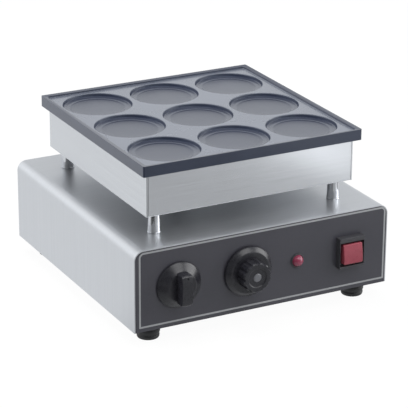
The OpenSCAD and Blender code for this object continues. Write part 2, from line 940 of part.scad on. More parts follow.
// The rocker rests with its top pressed in
module switch_rocker() {
  color([0.8, 0.12, 0.12]) translate([switch_x, pivot_y, control_z]) rotate([90 - rocker_swing / 2, 0, 0]) {
    translate([-rocker_w / 2, 0, 0]) rotate([90, 0, 90]) linear_extrude(rocker_w) polygon([
      [-rocker_half, -rocker_back], [rocker_half, -rocker_back],
      [rocker_half, rocker_end - rocker_bevel], [rocker_half - rocker_bevel, rocker_end], [0, rocker_dip],
      [rocker_bevel - rocker_half, rocker_end], [-rocker_half, rocker_end - rocker_bevel]
    ]);
    pin_half = rocker_w / 2 + rocker_side_gap + pivot_len;
    translate([-pin_half, 0, 0]) rotate([0, 90, 0]) cylinder(r = pivot_r, h = 2 * pin_half);
  }
}

// Supply: terminal block, loom and cable gland

// Floors of the six screw holes of the terminal block
module at_block_screws() {
  for (i = [-1 : 1], s = [-1, 1])
    translate([block_at.x + i * block_pitch, block_at.y + s * block_screw_at, cover_top + block_screw_floor])
      children();
}

module terminal_block() {
  half = block_size / 2;
  color("ivory") difference() {
    translate([block_at.x, block_at.y, cover_top]) difference() {
      block([-half.x, -half.y, 0], [half.x, half.y, block_size.z]);
      for (s = [-1, 1]) translate([s * block_pitch / 2, 0, block_size.z])
        cube([block_slot_w, block_size.y + over, 2 * block_slot_depth], center = true);
    }
    at_block_screws() cylinder(r = block_screw_r + run_gap, h = block_size.z);
  }
}

module terminal_screws() {
  color("lightgray") at_block_screws()
    cylinder(r = block_screw_r, h = block_size.z - block_screw_floor - block_screw_sunk);
}

// Loom: forward from the terminal block, up through the conduit, then back to the elements
module heater_loom() {
  start = block_at.y - block_size.y / 2;
  turn_y = conduit_at.y + loom_bend;
  color("white") translate([loom_x, 0, 0]) {
    translate([0, 0, loom_low]) rod_y(loom_r, turn_y, start);
    translate([0, turn_y, loom_low + loom_bend]) rotate([180, 0, 0]) elbow(loom_r, loom_bend);
    translate([0, conduit_at.y, loom_low + loom_bend])
      cylinder(r = loom_r, h = loom_high - loom_low - 2 * loom_bend);
    translate([0, turn_y, loom_high - loom_bend]) rotate([90, 0, 0]) elbow(loom_r, loom_bend);
    translate([0, 0, loom_high]) rod_y(loom_r, turn_y, loom_end);
  }
}

module gland_body() {
  color([0.1, 0.1, 0.1]) at_gland() difference() {
    union() {
      rod_y(gland_r, rear_inner - gland_thread_in, rear_y + eps);
      translate([0, rear_y + gland_hex_h, 0]) rotate([90, 0, 0]) hexagon(gland_af, gland_hex_h);
      rod_y(gland_sleeve_r, rear_y, rear_y + gland_sleeve);
    }
    bore_y(gland_bore_r, rear_inner - gland_thread_in, rear_y + gland_sleeve);
  }
}

module gland_cap() {
  from = rear_y + gland_hex_h;
  color([0.1, 0.1, 0.1]) at_gland() difference() {
    translate([0, from, 0]) rotate([-90, 0, 0]) rotate_extrude() polygon([
      [0, 0], [gland_cap_r, 0], [gland_cap_r, gland_grip],
      [gland_nose_r, gland_reach - gland_hex_h], [0, gland_reach - gland_hex_h]
    ]);
    rod_y(gland_sleeve_r + run_gap, from - over, rear_y + gland_sleeve + gland_sleeve_gap);
    bore_y(gland_bore_r, from, rear_y + gland_reach);
  }
}

module gland_nut() {
  color([0.1, 0.1, 0.1]) at_gland() translate([0, rear_inner, 0]) difference() {
    rotate([90, 0, 0]) hexagon(gland_af, gland_hex_h);
    bore_y(gland_r + run_gap, -gland_hex_h, 0);
  }
}

base_shell();
front_panel();
rear_panel();
bottom_cover();
cover_screws();
foot(-1, -1);  // foot_front_left
foot(1, -1);  // foot_front_right
foot(-1, 1);  // foot_rear_left
foot(1, 1);  // foot_rear_right
foot_screws();
foot_nuts();
pillar(-1, -1);  // pillar_front_left
pillar(1, -1);  // pillar_front_right
pillar(-1, 1);  // pillar_rear_left
pillar(1, 1);  // pillar_rear_right
pillar_studs();
pillar_nuts();
wire_conduit();
heater_box_wrap();
heater_box_side(-1);  // heater_box_side_left
heater_box_side(1);  // heater_box_side_right
insulation_pad();
reflector_plate();
heating_element(-1);  // heating_element_left
heating_element(0);  // heating_element_middle
heating_element(1);  // heating_element_right
element_clamps();
clamp_screws();
griddle_plate();
plate_screws();
timer_body();
timer_shaft();
timer_knob();
timer_screws();
thermostat_body();
thermostat_shaft();
thermostat_knob();
thermostat_screws();
thermostat_capillary();
lamp_body();
lamp_lens();
switch_housing();
switch_rocker();
terminal_block();
terminal_screws();
heater_loom();
gland_body();
gland_cap();
gland_nut();
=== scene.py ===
# %% [markdown]
# A mini pancake maker, dressed for the camera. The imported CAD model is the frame: every
# piece is at its real place and size there, in metres, with +Z up and the control panel
# facing -Y. This lesson gives each visible piece its rounded edges and its finish, and
# leaves the CAD pieces where they are.

# %% Load the frame
import math
import bmesh
import bpy
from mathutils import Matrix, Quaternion, Vector


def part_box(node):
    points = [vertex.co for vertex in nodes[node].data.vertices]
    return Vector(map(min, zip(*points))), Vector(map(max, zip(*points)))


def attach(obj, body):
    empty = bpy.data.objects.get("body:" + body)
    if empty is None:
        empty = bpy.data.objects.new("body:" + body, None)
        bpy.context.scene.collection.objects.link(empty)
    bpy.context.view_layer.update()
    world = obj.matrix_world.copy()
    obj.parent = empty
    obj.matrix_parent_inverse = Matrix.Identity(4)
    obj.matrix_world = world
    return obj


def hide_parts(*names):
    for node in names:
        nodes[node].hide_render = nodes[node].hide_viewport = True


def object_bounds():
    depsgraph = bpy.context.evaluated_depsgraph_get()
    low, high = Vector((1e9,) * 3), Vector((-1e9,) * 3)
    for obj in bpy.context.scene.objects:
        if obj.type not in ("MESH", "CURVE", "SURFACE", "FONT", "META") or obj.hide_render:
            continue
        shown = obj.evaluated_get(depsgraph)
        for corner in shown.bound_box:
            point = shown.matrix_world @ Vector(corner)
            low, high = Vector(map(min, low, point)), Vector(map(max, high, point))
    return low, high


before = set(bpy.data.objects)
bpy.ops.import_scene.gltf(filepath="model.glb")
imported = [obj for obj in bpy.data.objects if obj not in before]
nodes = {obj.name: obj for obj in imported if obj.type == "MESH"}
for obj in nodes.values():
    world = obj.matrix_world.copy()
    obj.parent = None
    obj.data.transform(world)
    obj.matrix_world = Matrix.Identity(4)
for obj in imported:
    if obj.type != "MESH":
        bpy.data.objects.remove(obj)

cad_low, cad_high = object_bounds()
mm = 0.001
print("CAD model", len(nodes), "nodes, box", [round(c, 4) for c in (*cad_low, *cad_high)])

# %% [markdown]
# The camera comes first, because it settles how big each detail will look. The photo was
# taken from far away with a long lens, to the left of the front and a little above. The
# angle, the distance and the lens were solved from the straight edges of the object, so
# the camera needs no shift. It also leans by a third of a degree, as the photo does.

# %% Camera
camera_azimuth = math.radians(-27.745)
camera_elevation = math.radians(21.166)
camera_lean = math.radians(0.307)
camera_distance = 2.5892
camera_aim = Vector((0.00901, 0.0002, 0.09051))
lens_mm = 183.5
film_mm = 36
far_clip = 50

level = math.cos(camera_elevation)
back = Vector((
    math.sin(camera_azimuth) * level,
    -math.cos(camera_azimuth) * level,
    math.sin(camera_elevation),
))
camera = bpy.data.objects.new("camera", bpy.data.cameras.new("camera"))
bpy.context.scene.collection.objects.link(camera)
camera.data.sensor_width = film_mm
camera.data.lens = lens_mm
camera.data.clip_end = far_clip
camera.location = camera_aim + back * camera_distance
camera.rotation_mode = "QUATERNION"
camera.rotation_quaternion = (-back).to_track_quat("-Z", "Y") @ Quaternion((0, 0, 1), camera_lean)
bpy.context.scene.camera = camera
print("camera at", [round(c, 3) for c in camera.location])

# %% [markdown]
# A finish is a small network of shader nodes. Written out node by node it is hard to
# read, so two classes carry it. Signal wraps one socket, and arithmetic on it adds Math
# nodes. Finish holds the material, and its method node makes any other kind of node.

# %% Shader helpers
class Signal:
    """A number or vector that varies over a surface."""

    def __init__(self, finish, socket):
        self.finish = finish
        self.socket = socket

    def math(self, operation, *others):
        inputs = dict(enumerate((self, *others)))
        return self.finish.node("ShaderNodeMath", {"operation": operation}, inputs)

    def __add__(self, other):
        return self.math("ADD", other)

    def __sub__(self, other):
        return self.math("SUBTRACT", other)

    def __rsub__(self, other):
        return self.finish.number(other).math("SUBTRACT", self)

    def __mul__(self, other):
        return self.math("MULTIPLY", other)

    def __rmul__(self, other):
        return self.math("MULTIPLY", other)

    def __abs__(self):
        return self.math("ABSOLUTE")

    def low(self, other):
        return self.math("MINIMUM", other)

    def high(self, other):
        return self.math("MAXIMUM", other)

    def away(self, *others):
        """How far a point is from the origin, where this and the others are its places."""
        total = self * self
        for other in others:
            total = total + other * other
        return total.math("SQRT")

    def ramp(self, start, end, low=0.0, high=1.0):
        """low where the signal is under start, high where it is over end, smooth between."""
        ends = {"Value": self, "From Min": start, "From Max": end, "To Min": low, "To Max": high}
        return self.finish.node("ShaderNodeMapRange", {"interpolation_type": "SMOOTHSTEP"}, ends)

    def spread(self, low=0.0, high=1.0):
        """Noise keeps mostly between 0.3 and 0.7, and this draws it out from low to high."""
        return self.ramp(0.3, 0.7, low, high)

    def parts(self):
        split = self.finish.node("ShaderNodeSeparateXYZ", {}, {0: self}).socket.node
        return [Signal(self.finish, output) for output in split.outputs]


class Finish:
    """A material that is being written, round one Principled BSDF."""

    def __init__(self, name, **constants):
        self.material = bpy.data.materials.new(name)
        self.material.use_nodes = True
        self.tree = self.material.node_tree
        self.shader = self.tree.nodes["Principled BSDF"]
        self.set(**constants)

    def set(self, **sockets):
        """Sets or links the shader's sockets; Base_Color stands for Base Color."""
        for name, value in sockets.items():
            self.plug(value, self.shader.inputs[name.replace("_", " ")])

    def plug(self, value, socket):
        if isinstance(value, Signal):
            self.tree.links.new(value.socket, socket)
        elif isinstance(value, tuple) and len(value) == 3 and socket.type == "RGBA":
            socket.default_value = (*value, 1)
        else:
            socket.default_value = value

    def node(self, kind, settings, inputs, output=0):
        """Adds a node, and gives back one of its outputs."""
        made = self.tree.nodes.new(kind)
        for name, value in settings.items():
            setattr(made, name, value)
        for name, value in inputs.items():
            self.plug(value, made.inputs[name])
        return Signal(self, made.outputs[output])

    def number(self, value):
        """A plain number as a signal, for where it stands before an operator."""
        return self.node("ShaderNodeMath", {"operation": "ADD"}, {0: value, 1: 0.0})

    def place(self):
        """Where a point of the surface is, in metres, in the object's own frame."""
        return self.node("ShaderNodeTexCoord", {}, {}, output="Object")

    def stretched(self, scale):
        """The place, scaled apart along each axis, for a grain that runs one way."""
        return self.node("ShaderNodeMapping", {}, {"Vector": self.place(), "Scale": scale})

    def noise(self, vector, per_metre, detail):
        """Soft noise between nought and one, with so many waves to the metre."""
        inputs = {"Vector": vector, "Scale": per_metre, "Detail": detail, "Roughness": 0.55}
        return self.node("ShaderNodeTexNoise", {}, inputs)

    def mix(self, share, first, second):
        """The colour first where share is 0, and second where it is 1."""
        colours = {0: share, 6: first, 7: second}
        return self.node("ShaderNodeMix", {"data_type": "RGBA"}, colours, output=2)

    def bump(self, height, distance):
        """Raises the surface where height is one by the distance."""
        self.set(Normal=self.node("ShaderNodeBump", {}, {"Height": height, "Distance": distance}))


# %% [markdown]
# The photo has a plain white ground. A lamp strong enough to turn the floor white would
# also wash out the object, so the floor and the world are white only to the camera,
# through the Light Path node. To soft light they are an ordinary pale surface. Reflections
# see a third thing, a photographer's room: pale walls, with a dark side where the camera
# stands, a bright window behind on the left, and a dim ceiling.

# %% World
cool_white = (0.96, 0.98, 1)
white_ground = 1.0
room_light = 0.40
room_in_steel = 0.84
# Each patch of the room has a strength, a way it lies, and an edge. The edge is two
# cosines of the angle from its middle: where the patch begins to show, and where it is full.
dark_side = 0.12
dark_toward = (-0.46, -0.85, 0.25)
dark_edge = (0.45, 0.85)
window = 1.22
window_toward = (-0.42, 0.78, 0.46)
window_edge = (0.80, 0.97)
ceiling = 0.35
ceiling_toward = (0, 0, 1)
ceiling_edge = (0.54, 0.72)

world = bpy.data.worlds.new("studio")
bpy.context.scene.world = world
world.use_nodes = True
sky = world.node_tree
sky.nodes.clear()
sky_out = sky.nodes.new("ShaderNodeOutputWorld")


def light_path(tree, *kinds):
    """One where a ray is of any of these kinds."""
    path = tree.nodes.new("ShaderNodeLightPath")
    total = path.outputs[kinds[0]]
    for kind in kinds[1:]:
        either = tree.nodes.new("ShaderNodeMath")
        either.operation = "MAXIMUM"
        tree.links.new(total, either.inputs[0])
        tree.links.new(path.outputs[kind], either.inputs[1])
        total = either.outputs[0]
    return total


def sky_level(strength):
    level_node = sky.nodes.new("ShaderNodeBackground")
    level_node.inputs["Color"].default_value = (*cool_white, 1)
    level_node.inputs["Strength"].default_value = strength
    return level_node.outputs[0]


def sky_mix(share, first, second):
    mixed = sky.nodes.new("ShaderNodeMixShader")
    sky.links.new(share, mixed.inputs[0])
    sky.links.new(first, mixed.inputs[1])
    sky.links.new(second, mixed.inputs[2])
    return mixed.outputs[0]


def sky_patch(toward, start, end):
    """One inside a soft round patch of the sky, nought outside it."""
    direction = sky.nodes.new("ShaderNodeTexCoord").outputs["Generated"]
    along = sky.nodes.new("ShaderNodeVectorMath")
    along.operation = "DOT_PRODUCT"
    along.inputs[1].default_value = Vector(toward).normalized()
    sky.links.new(direction, along.inputs[0])
    edge = sky.nodes.new("ShaderNodeMapRange")
    edge.interpolation_type = "SMOOTHSTEP"
    edge.inputs["From Min"].default_value = start
    edge.inputs["From Max"].default_value = end
    sky.links.new(along.outputs["Value"], edge.inputs["Value"])
    return edge.outputs[0]


steel_sky = sky_level(room_in_steel)
steel_sky = sky_mix(sky_patch(dark_toward, *dark_edge), steel_sky, sky_level(dark_side))
steel_sky = sky_mix(sky_patch(window_toward, *window_edge), steel_sky, sky_level(window))
steel_sky = sky_mix(sky_patch(ceiling_toward, *ceiling_edge), steel_sky, sky_level(ceiling))
seen_in_steel = light_path(sky, "Is Glossy Ray", "Is Transmission Ray")
dim_or_steel = sky_mix(seen_in_steel, sky_level(room_light), steel_sky)
whole_sky = sky_mix(light_path(sky, "Is Camera Ray"), dim_or_steel, sky_level(white_ground))
sky.links.new(whole_sky, sky_out.inputs[0])
bpy.context.scene.view_settings.view_transform = "Standard"
print("world made, view transform", bpy.context.scene.view_settings.view_transform)

# %% [markdown]
# A polished wall shows what stands in front of it. In the photo the front of the steel
# box is darker than its side, because it mirrors a darker part of the studio floor, where
# the photographer stood. Its right end is bright, as if a white card lay before it. The
# floor has such a dark pool and such a card for reflections alone.

# %% Floor
floor_size = 12.0
paper_white = (0.90, 0.90, 0.90)
paper_dim = (0.45, 0.45, 0.45)
shadow_share = 0.05
# Places are in metres from the middle of the machine, and an edge is where a change
# begins and where it ends.
floor_in_front = 0.52
floor_behind = 0.87
floor_edge = (-0.34, -0.04)
pool_at = (-0.45, -0.42)
pool_edge = (0.14, 0.46)
pool_level = 0.10
card_left_edge = (0.27, 0.365)
card_right_edge = (0.365, 0.455)
card_front_edge = (-0.62, -0.38)
card_end = 0.5
card_glow = 1.15
bpy.ops.object.select_all(action="DESELECT")
bpy.ops.mesh.primitive_plane_add(size=floor_size, location=(0, 0, 0))
floor = bpy.context.object
floor.name = "floor"


def mixed_shader(finish, share, first, second):
    return finish.node("ShaderNodeMixShader", {}, {0: share, 1: first, 2: second})


paper = Finish("white_paper", Base_Color=paper_white, Roughness=0.9)
x, y = paper.place().parts()[:2]
from_pool = (x - pool_at[0]).away(y - pool_at[1])
across_card = x.ramp(*card_left_edge) * x.ramp(*card_right_edge, 1, card_end)
steel_floor = y.ramp(*floor_edge, floor_in_front, floor_behind)
steel_floor = steel_floor * from_pool.ramp(*pool_edge, pool_level, 1)
steel_floor = steel_floor + across_card * y.ramp(*card_front_edge, card_glow, 0)

white_glow = paper.node("ShaderNodeEmission", {}, {"Color": (1, 1, 1), "Strength": white_ground})
steel_glow = paper.node("ShaderNodeEmission", {}, {"Color": cool_white, "Strength": steel_floor})
own_shade = Signal(paper, paper.shader.outputs[0])
dim_shade = paper.node("ShaderNodeBsdfDiffuse", {}, {"Color": paper_dim})
in_steel = Signal(paper, light_path(paper.tree, "Is Glossy Ray", "Is Transmission Ray"))
to_camera = Signal(paper, light_path(paper.tree, "Is Camera Ray"))
camera_look = mixed_shader(paper, shadow_share, white_glow, own_shade)
other_look = mixed_shader(paper, in_steel, dim_shade, steel_glow)
floor_look = mixed_shader(paper, to_camera, other_look, camera_look)
paper.plug(floor_look, paper.tree.nodes["Material Output"].inputs["Surface"])
floor.data.materials.append(paper.material)
print("floor", floor_size, "m across")

# %% [markdown]
# Soft light comes from four large area lamps. The biggest hangs over the machine and
# lights what faces up. The second stands on the left and lights the side wall. The last
# two stand on the right and high in front, and the knobs, the lamp and the pillars show
# them as soft highlights. The front gets little light of its own, which is why the panel
# and the plate's edge look so dark.

# %% Lamps
lamp_aim = Vector((0, 0, 0.12))


def soft_lamp(name, place, size, watts, mirrored=False):
    """A square lamp, so many metres across, that points at the middle of the machine."""
    lamp = bpy.data.objects.new(name, bpy.data.lights.new(name, "AREA"))
    bpy.context.scene.collection.objects.link(lamp)
    lamp.data.shape = "SQUARE"
    lamp.data.size = size
    lamp.data.energy = watts
    lamp.location = place
    lamp.rotation_mode = "QUATERNION"
    lamp.rotation_quaternion = (lamp_aim - Vector(place)).to_track_quat("-Z", "Y")
    lamp.visible_glossy = mirrored


soft_lamp("overhead", (-0.2, 0.3, 2.2), size=1.8, watts=44)
soft_lamp("left_side", (-2.1, 0.6, 0.8), size=1.4, watts=40)
soft_lamp("right_softbox", (1.8, -0.72, 0.72), size=1.5, watts=23, mirrored=True)
soft_lamp("front_softbox", (0.35, -1.25, 1.75), size=1.3, watts=16, mirrored=True)
print("four lamps")

# %% [markdown]
# Most finishes here are made the same way: a colour that drifts a little over the piece,
# a fine grain, and a gloss and a height that follow them. A function keeps that in one
# place. Grain sizes are real sizes, so they are the same on a large piece and a small one.

# %% A finish with patches and grain
def worn(name, dark, light, gloss, *, patch, grain, run=(1, 1, 1), depth=0.02 * mm, **constants):
    """Colour between dark and light, roughness between the two of gloss, over patches and a grain.

    run stretches the grain: 0.01 along an axis draws it out into lines along that axis."""
    made = Finish(name, **constants)
    patches = made.noise(made.place(), 1 / patch, 3)
    grains = made.noise(made.stretched(run), 1 / grain, 2)
    made.set(Base_Color=made.mix((0.55 * patches + 0.45 * grains).spread(), dark, light))
    made.set(Roughness=(0.4 * patches + 0.6 * grains).spread(*gloss))
    made.bump(grains, depth)
    return made


# %% [markdown]
# The housing is brushed stainless steel. Brushing leaves fine lines that run one way,
# which spread a highlight across them. The lines are noise drawn out along one axis. A
# second, much longer wave bends the sheet by a tenth of a millimetre, as thin sheet
# always is, so that reflections in it aren't ruled with a ruler. The floor of the heater
# box is left as the mill rolled it, paler and duller than the brushed walls. The other
# metals are plainer: soft patches of zinc on the inner sheets, and plating on the screws.

# %% Brushed steel and the other metals
steel_dark = (0.625, 0.64, 0.665)
steel_light = (0.67, 0.685, 0.71)
steel_mill = (0.73, 0.745, 0.765)
mill_dullness = 0.12
sheet_wave = 0.15
along_x_and_z = (0.01, 1, 0.01)
along_x_and_y = (0.01, 0.01, 1)
along_z = (1, 1, 0.05)
box_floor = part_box("heater_box_wrap")[0].z


def brushed_steel(name, run, gloss, tooth, mill_below=0):
    """run is the way of the grain, and tooth the height of its lines in millimetres."""
    steel = Finish(name, Metallic=0.92)
    under = steel.place().parts()[2].ramp(mill_below, mill_below + mm, 1, 0)
    lines = steel.noise(steel.stretched(run), 1500, 2)
    streaks = steel.noise(steel.stretched(run), 300, 2)
    clouds = steel.noise(steel.place(), 9, 2)
    wave = steel.noise(steel.place(), 14, 1)
    drift = (0.5 * lines + 0.3 * streaks + 0.2 * clouds).spread()
    brushed = steel.mix(drift, steel_dark, steel_light)
    steel.set(Base_Color=steel.mix(under, brushed, steel_mill))
    steel.set(Roughness=(0.5 * lines + 0.5 * clouds).spread(*gloss) + under * mill_dullness)
    steel.bump((lines + streaks * 0.5) * tooth + wave * sheet_wave, mm)
    return steel


finishes = {
    "stainless": brushed_steel("brushed_stainless", along_x_and_z, (0.34, 0.40), 0.03),
    "box_steel": brushed_steel("box_stainless", along_x_and_y, (0.16, 0.24), 0.002, box_floor),
    "polished_steel": brushed_steel("polished_steel", along_z, (0.07, 0.13), 0.002),
    "galvanised": worn("galvanised_sheet", (0.40, 0.42, 0.44), (0.56, 0.58, 0.60), (0.34, 0.5),
                       patch=14 * mm, grain=3 * mm, depth=0.01 * mm, Metallic=1.0),
    "plated_steel": worn("plated_steel", (0.60, 0.61, 0.60), (0.74, 0.75, 0.74), (0.2, 0.34),
                         patch=10 * mm, grain=0.5 * mm, Metallic=1.0),
}
print("metal finishes", sorted(finishes))

# %% [markdown]
# The plate is cast and carries a dark, slightly bluish non-stick coat with a clear top
# layer. The coat is the same all over, but the land is painted lighter than the pits, as
# painted light and shade: the open land catches more of the bright room than the pits do.
# A faint lighter ring on the ledge in each pit is a painted highlight. The pits' floors and
# walls, the rim and the sides keep the coat's dark colour, and the walls are duller. The
# height of a point over the land and its distance from the middle tell these apart.

# %% Coated plate
plate_low, plate_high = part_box("griddle_plate")
rim_width = 5.5 * mm
rim_height = 3.2 * mm
rim_inside = plate_high.x - rim_width
land_height = plate_high.z - rim_height
# How much of the land's painted light the ledge in each pit gets, as a painted highlight.
ledge_highlight = 0.22

coat = Finish("griddle_coating", IOR=1.5, Specular_Tint=(0.74, 0.84, 1.0), Coat_IOR=1.3, Coat_Roughness=0.2)
x, y, height = coat.place().parts()
over_land = height - land_height
on_rim = abs(x).high(abs(y)).ramp(rim_inside - 2 * mm, rim_inside)
inside_rim = 1 - on_rim
on_land = over_land.ramp(-1.6 * mm, -0.2 * mm)
on_ledge = over_land.ramp(-5.0 * mm, -4.85 * mm) * over_land.ramp(-4.4 * mm, -4.0 * mm, 1, 0)
on_wall = over_land.ramp(-4.2 * mm, -3.7 * mm) * over_land.ramp(-0.8 * mm, -0.2 * mm, 1, 0) * inside_rim
# Painted light: the land is coloured lighter than the pits, which stay dark as painted shade, and the ledge
# gets a faint painted highlight.
painted_land_light = (on_land + on_ledge * ledge_highlight) * inside_rim
tooth = coat.noise(coat.place(), 1600, 2)
orange_peel = coat.noise(coat.place(), 320, 2)
clouds = coat.noise(coat.place(), 22, 3)
drift = (0.9 * clouds + 0.07 * orange_peel + 0.03 * tooth).spread()
dark_colour = coat.mix(drift, (0.014, 0.018, 0.036), (0.020, 0.025, 0.046))
# The lighter colour of the land is painted light, for the bright room that the open land catches.
lit_land_colour = coat.mix(drift, (0.110, 0.120, 0.148), (0.120, 0.131, 0.161))
coat.set(Base_Color=coat.mix(painted_land_light, dark_colour, lit_land_colour))
coat.set(Roughness=drift * 0.04 + painted_land_light * 0.04 + on_wall * 0.3 + on_rim * 0.12 + 0.22)
coat.set(Coat_Weight=1 - on_wall * 0.8)
coat.bump(tooth * 0.5 + orange_peel, 0.0006 * mm)
finishes["coated_plate"] = coat
print("land of the plate at", round(land_height, 4))

# %% [markdown]
# The front panel is black enamel with a fine silver line printed round it. The line is
# drawn in the shader: the distance of a point to a rectangle with two rounded corners,
# and silver where that distance is less than half the line's width.

# %% Front panel with its printed line
front_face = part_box("base_shell")[0].y
line_width = 2.2 * mm
line_blur = 0.1 * mm
line_corner = 5.5 * mm
line_left = cad_low.x + 7.1 * mm
line_right = cad_high.x - 4.0 * mm
line_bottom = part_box("front_panel")[0].z + 5.85 * mm
line_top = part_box("base_shell")[1].z - 3.7 * mm
line_mid_x = (line_left + line_right) / 2
line_half_x = (line_right - line_left) / 2
line_mid_z = (line_bottom + line_top) / 2
line_half_z = (line_top - line_bottom) / 2

enamel = Finish("black_enamel")
x, y, z = enamel.place().parts()
corner = z.ramp(line_mid_z - mm, line_mid_z + mm, 0, line_corner)
past_x = abs(x - line_mid_x) - line_half_x + corner
past_z = abs(z - line_mid_z) - line_half_z + corner
outline = past_x.high(0).away(past_z.high(0)) + past_x.high(past_z).low(0) - corner
on_line = abs(outline).ramp(line_width / 2 - line_blur, line_width / 2 + line_blur, 1, 0)
on_front = y.ramp(front_face - 0.2 * mm, front_face + 0.5 * mm, 1, 0)
printed = on_line * on_front
peel = enamel.noise(enamel.place(), 260, 2)
haze = enamel.noise(enamel.place(), 18, 3)
black_share = (0.6 * haze + 0.4 * peel).spread()
black_colour = enamel.mix(black_share, (0.049, 0.049, 0.060), (0.054, 0.053, 0.065))
enamel.set(Base_Color=enamel.mix(printed, black_colour, (0.46, 0.47, 0.48)))
enamel.set(Roughness=black_share * 0.03 + printed * 0.10 + 0.28)
enamel.set(Metallic=printed * 0.6)
enamel.bump(peel + printed * 2, 0.004 * mm)
finishes["panel_black"] = enamel
print("printed line", round(2 * line_half_x, 4), "by", round(2 * line_half_z, 4))

# %% [markdown]
# Knobs, switch, lamp and gland are moulded plastic, which copies the fine texture of its
# mould: a faint grain, and a gloss that drifts with it. The lamp has the smoothest mould.
# Rubber is duller, and mineral wool has hardly any gloss. The pieces inside the base and
# the box get the colours of their usual materials, for whoever takes the part apart.

# %% Plastics, rubber and the inner pieces
finishes["knob_black"] = worn("knob_plastic", (0.014, 0.014, 0.018), (0.020, 0.020, 0.025), (0.24, 0.34),
                              patch=9 * mm, grain=0.35 * mm, depth=0.006 * mm)
finishes["knob_grey"] = worn("knob_button", (0.115, 0.118, 0.13), (0.14, 0.143, 0.157), (0.26, 0.36),
                             patch=5 * mm, grain=0.3 * mm, depth=0.004 * mm)
finishes["switch_black"] = worn("switch_plastic", (0.040, 0.040, 0.045), (0.048, 0.048, 0.054), (0.34, 0.44),
                                patch=7 * mm, grain=0.3 * mm, depth=0.006 * mm)
finishes["rocker_red"] = worn("rocker_plastic", (0.25, 0.042, 0.062), (0.30, 0.052, 0.075), (0.26, 0.36),
                              patch=8 * mm, grain=0.3 * mm, depth=0.004 * mm)
finishes["lens_red"] = worn("lens_plastic", (0.22, 0.034, 0.068), (0.27, 0.045, 0.088), (0.14, 0.22),
                            patch=4 * mm, grain=0.3 * mm, depth=0.003 * mm,
                            Coat_Weight=0.2, Coat_Roughness=0.15)
finishes["foot_rubber"] = worn("foot_rubber", (0.012, 0.012, 0.013), (0.024, 0.024, 0.025), (0.45, 0.6),
                               patch=7 * mm, grain=0.5 * mm, depth=0.03 * mm)
finishes["gland_black"] = worn("gland_nylon", (0.012, 0.012, 0.013), (0.02, 0.02, 0.021), (0.35, 0.5),
                               patch=8 * mm, grain=0.4 * mm)
finishes["mineral_wool"] = worn("mineral_wool", (0.50, 0.46, 0.36), (0.74, 0.70, 0.58), (0.85, 1.0),
                                patch=11 * mm, grain=1.4 * mm, run=(1, 0.2, 1), depth=1.2 * mm)
finishes["element_sheath"] = worn("element_sheath", (0.06, 0.055, 0.05), (0.16, 0.14, 0.13), (0.38, 0.6),
                                  patch=16 * mm, grain=0.9 * mm, depth=0.03 * mm, Metallic=0.8)
finishes["control_cream"] = worn("control_cream", (0.66, 0.62, 0.52), (0.74, 0.70, 0.60), (0.4, 0.52),
                                 patch=12 * mm, grain=0.5 * mm, depth=0.01 * mm)
finishes["copper"] = worn("copper_tube", (0.62, 0.30, 0.19), (0.78, 0.42, 0.28), (0.24, 0.4),
                          patch=9 * mm, grain=0.4 * mm, Metallic=1.0)
finishes["terminal_brass"] = worn("terminal_brass", (0.62, 0.47, 0.22), (0.76, 0.60, 0.32), (0.24, 0.4),
                                  patch=5 * mm, grain=0.3 * mm, Metallic=1.0)
finishes["loom_sleeve"] = worn("loom_sleeve", (0.60, 0.58, 0.52), (0.80, 0.78, 0.70), (0.7, 0.9),
                               patch=8 * mm, grain=0.9 * mm, run=(1, 1, 0.3), depth=0.25 * mm)
print("finishes", len(finishes))

# %% [markdown]
# The pieces are modelled as by hand: a primitive at its place, then operators in edit
# mode. An operator acts on all that is selected, so these helpers select in code, by the
# place or the normal of a face or an edge.

# %% Helpers that select and edit
def only(*pieces):
    """Selects these pieces alone, and makes the last of them the active one."""
    bpy.ops.object.select_all(action="DESELECT")
    for piece in pieces:
        piece.select_set(True)
    bpy.context.view_layer.objects.active = pieces[-1]


def settle(piece):
    """Brings the object back to the origin, with its place in its mesh."""
    only(piece)
    bpy.ops.object.transform_apply(location=True, rotation=True, scale=True)
    return piece


def edit(piece):
    """Opens a piece in edit mode."""
    only(piece)
    bpy.ops.object.mode_set(mode="EDIT")


def leave():
    """Goes back to object mode."""
    bpy.ops.object.mode_set(mode="OBJECT")


def pick(kind, rule):
    """Selects the faces or edges for which the rule holds."""
    bpy.ops.mesh.select_mode(type=kind)
    bpy.ops.mesh.select_all(action="DESELECT")
    mesh = bmesh.from_edit_mesh(bpy.context.object.data)
    for item in mesh.faces if kind == "FACE" else mesh.edges:
        if rule(item):
            item.select_set(True)
    bmesh.update_edit_mesh(bpy.context.object.data)


def extrude(y=0.0, z=0.0):
    bpy.ops.mesh.extrude_region_move(TRANSFORM_OT_translate={"value": (0, y, z)})


def middle_of(edge):
    return (edge.verts[0].co + edge.verts[1].co) / 2


def upright(edge):
    run = edge.verts[1].co - edge.verts[0].co
    return abs(run.z) > 0.99 * run.length


# %% [markdown]
# Three kinds of solid are enough for a start: a block, a round one turned from its
# profile like a piece on a lathe, and a copy. Modifiers cut, join and round them, and are
# applied at once, so that each piece is a plain mesh at the end.

# %% Helpers that make and finish pieces
sharp_angle = math.radians(34)
smooth_angle = math.radians(40)


def block(name, low, high):
    """A solid block between two corners, in metres."""
    low, high = Vector(low), Vector(high)
    bpy.ops.object.select_all(action="DESELECT")
    bpy.ops.mesh.primitive_cube_add(size=1, location=(low + high) / 2)
    piece = bpy.context.object
    piece.name = name
    piece.scale = high - low
    return settle(piece)


